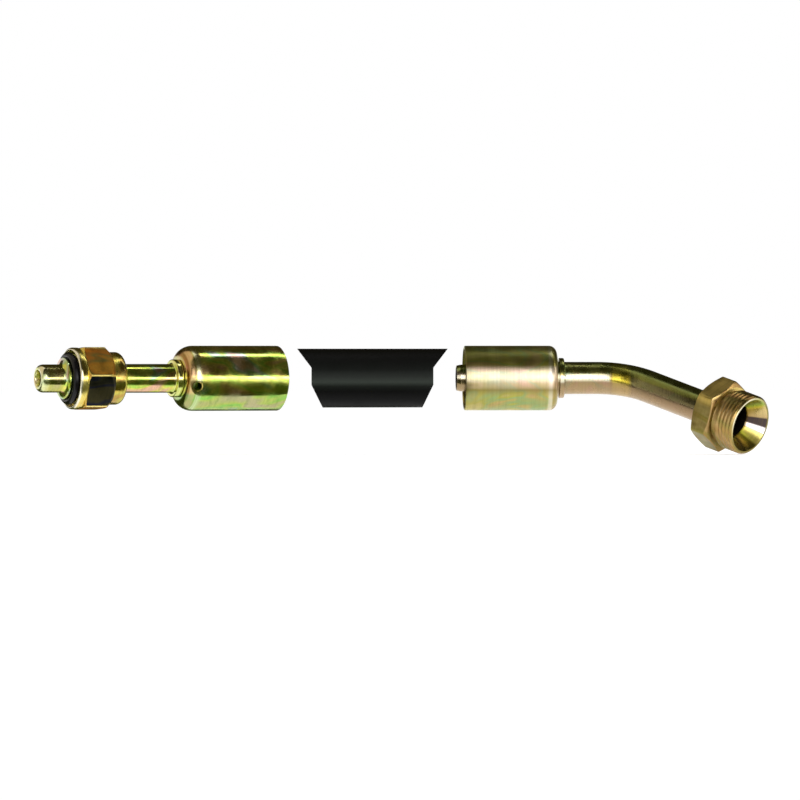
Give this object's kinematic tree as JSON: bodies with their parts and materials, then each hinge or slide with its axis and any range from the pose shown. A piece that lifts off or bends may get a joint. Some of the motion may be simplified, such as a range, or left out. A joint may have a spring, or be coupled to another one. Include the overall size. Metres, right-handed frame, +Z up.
{
  "type": "hydraulic hose assembly",
  "caption": "Hose assembly laid out to push together: straight fitting with swivel nut and pilot, short hose, and 45 degree bent fitting with male cone end.",
  "frame": {"origin": "on the hose's axis at mid length, where a hose clip holds it", "axes": "+X along the hose at its middle, towards the bent fitting; +Z up; the hose bends towards -Y"},
  "size_m": [0.3045, 0.0865, 0.0452],
  "materials": {
    "olive_plating": "yellow zinc chromate on turned steel, olive with iridescent patches",
    "khaki_plating": "yellow zinc chromate on turned steel, khaki gold",
    "braze_alloy": "silver braze, plated over",
    "seal_rubber": "smooth black rubber",
    "cover_rubber": "matte black synthetic rubber with a cloth impression",
    "inner_rubber": "smooth dark rubber",
    "barrier_nylon": "natural nylon",
    "braid_yarn": "polyester yarn braid"
  },
  "bodies": {
    "hose": {"hose_inner_tube": "inner_rubber", "hose_barrier": "barrier_nylon", "hose_cushion": "inner_rubber", "hose_braid": "braid_yarn", "hose_cover": "cover_rubber"},
    "left_fitting": {"left_stem": "olive_plating", "left_oring": "seal_rubber", "left_ferrule": "olive_plating"},
    "left_nut": {"left_swivel_nut": "olive_plating"},
    "right_fitting": {"right_stem": "khaki_plating", "right_ferrule": "khaki_plating", "right_male_adapter": "khaki_plating", "right_braze_ring": "braze_alloy"}
  },
  "joints": [
    {"name": "left_push_on", "type": "hinge", "parent": "hose", "child": "left_fitting", "pos_m": [0, -0.3, 0], "axis": [0, 0, -1], "range_deg": [0, 6.85]},
    {"name": "nut_swivel", "type": "hinge", "parent": "left_fitting", "child": "left_nut", "pos_m": [-0.12414, -0.01828, 0], "axis": [-0.9827, -0.1853, 0], "continuous": true},
    {"name": "right_push_on", "type": "hinge", "parent": "hose", "child": "right_fitting", "pos_m": [0, -0.3, 0], "axis": [0, 0, 1], "range_deg": [0, 6.3]}
  ]
}
